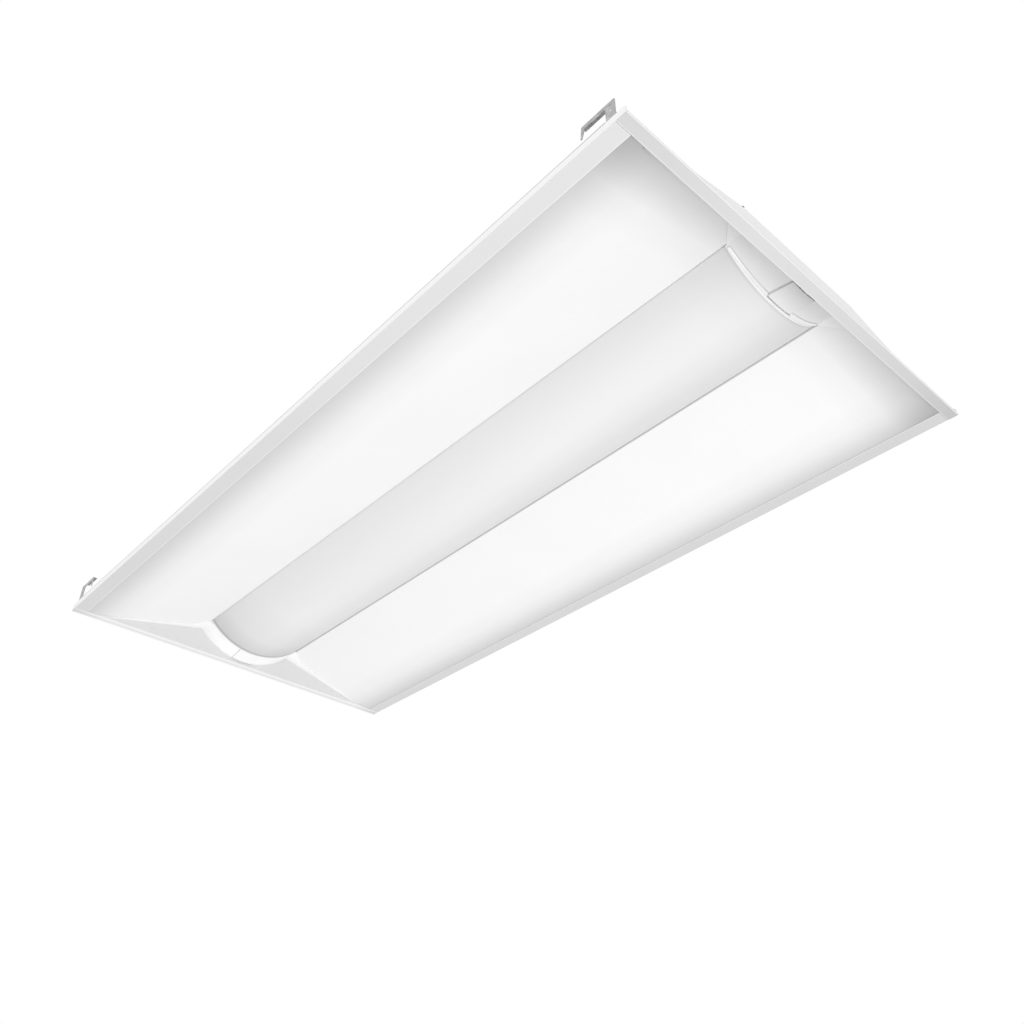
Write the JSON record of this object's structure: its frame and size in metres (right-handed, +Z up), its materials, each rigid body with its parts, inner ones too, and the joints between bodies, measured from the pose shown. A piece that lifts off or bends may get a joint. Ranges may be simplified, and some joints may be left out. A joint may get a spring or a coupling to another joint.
{
  "type": "recessed troffer light",
  "caption": "Recessed lay-in troffer light: sloped wings in a flanged trim, arched diffuser basket that swings down, fold-out grid clips and a driver box with a hinged lid on the back.",
  "frame": {"origin": "centre of the trim's underside, where the light rests on the ceiling tees", "axes": "+X along the length towards the far end, +Y to the left side, +Z up into the ceiling"},
  "size_m": [1.213, 0.603, 0.0851],
  "materials": {
    "white_enamel": "satin powder coat",
    "galvanised": "hot-dip zinc, dull spangle",
    "zinc_steel": "zinc plated",
    "diffuser": "satin opal acrylic",
    "cap_plastic": "moulded white",
    "board_white": "white solder mask",
    "phosphor": "phosphor gel",
    "plug_plastic": "moulded",
    "driver_can": "painted white",
    "block_plastic": "moulded",
    "earth_green": "green",
    "black_nylon": "moulded"
  },
  "bodies": {
    "housing": {"board_connectors": "plug_plastic", "board_screws": "zinc_steel", "box_screws": "zinc_steel", "catch_lug_far": "galvanised", "catch_lug_feed": "galvanised", "clip_pins": "zinc_steel", "driver_box": "galvanised", "driver_case": "driver_can", "driver_screws": "zinc_steel", "driver_terminals": "plug_plastic", "end_band_far": "white_enamel", "end_band_feed": "white_enamel", "end_plate_far": "white_enamel", "end_plate_feed": "white_enamel", "ground_screw": "earth_green", "knockout_blanks": "galvanised", "lead_bushing": "black_nylon", "led_board_1": "board_white", "led_board_2": "board_white", "led_board_3": "board_white", "led_board_4": "board_white", "led_chips_1": "phosphor", "led_chips_2": "phosphor", "led_chips_3": "phosphor", "led_chips_4": "phosphor", "led_tray": "white_enamel", "lens_bracket_far": "galvanised", "lens_bracket_feed": "galvanised", "lid_pins": "zinc_steel", "reflector_left": "white_enamel", "reflector_right": "white_enamel", "side_rail_left": "white_enamel", "side_rail_right": "white_enamel", "spine_channel": "galvanised", "spine_rivets": "zinc_steel", "terminal_block": "block_plastic"},
    "lens_basket": {"lens": "diffuser", "lens_cap_feed": "cap_plastic", "lens_cap_far": "cap_plastic", "hinge_pins": "zinc_steel"},
    "catch_feed": {"catch_leaf_feed": "white_enamel", "catch_pin_feed": "zinc_steel"},
    "catch_far": {"catch_leaf_far": "white_enamel", "catch_pin_far": "zinc_steel"},
    "lid": {"driver_lid": "galvanised"},
    "clip_feed_left": {"grid_clip_feed_left": "galvanised"},
    "clip_feed_right": {"grid_clip_feed_right": "galvanised"},
    "clip_far_left": {"grid_clip_far_left": "galvanised"},
    "clip_far_right": {"grid_clip_far_right": "galvanised"}
  },
  "joints": [
    {"name": "lens_swing", "type": "hinge", "parent": "housing", "child": "lens_basket", "pos_m": [0, -0.0824, 0.0436], "axis": [-1, 0, 0], "range_deg": [0, 65]},
    {"name": "catch_feed_swing", "type": "hinge", "parent": "housing", "child": "catch_feed", "pos_m": [-0.589, 0, 0.008], "axis": [0, 1, 0], "range_deg": [0, 50]},
    {"name": "catch_far_swing", "type": "hinge", "parent": "housing", "child": "catch_far", "pos_m": [0.589, 0, 0.008], "axis": [0, -1, 0], "range_deg": [0, 50]},
    {"name": "lid_swing", "type": "hinge", "parent": "housing", "child": "lid", "pos_m": [-0.2, -0.0653, 0.0829], "axis": [1, 0, 0], "range_deg": [0, 110]},
    {"name": "clip_feed_left_swing", "type": "hinge", "parent": "housing", "child": "clip_feed_left", "pos_m": [-0.5887, 0.2965, 0.02], "axis": [0, 0, 1], "range_deg": [0, 90]},
    {"name": "clip_feed_right_swing", "type": "hinge", "parent": "housing", "child": "clip_feed_right", "pos_m": [-0.5887, -0.2965, 0.02], "axis": [0, 0, -1], "range_deg": [0, 90]},
    {"name": "clip_far_left_swing", "type": "hinge", "parent": "housing", "child": "clip_far_left", "pos_m": [0.5887, 0.2965, 0.02], "axis": [0, 0, -1], "range_deg": [0, 90]},
    {"name": "clip_far_right_swing", "type": "hinge", "parent": "housing", "child": "clip_far_right", "pos_m": [0.5887, -0.2965, 0.02], "axis": [0, 0, 1], "range_deg": [0, 90]}
  ]
}
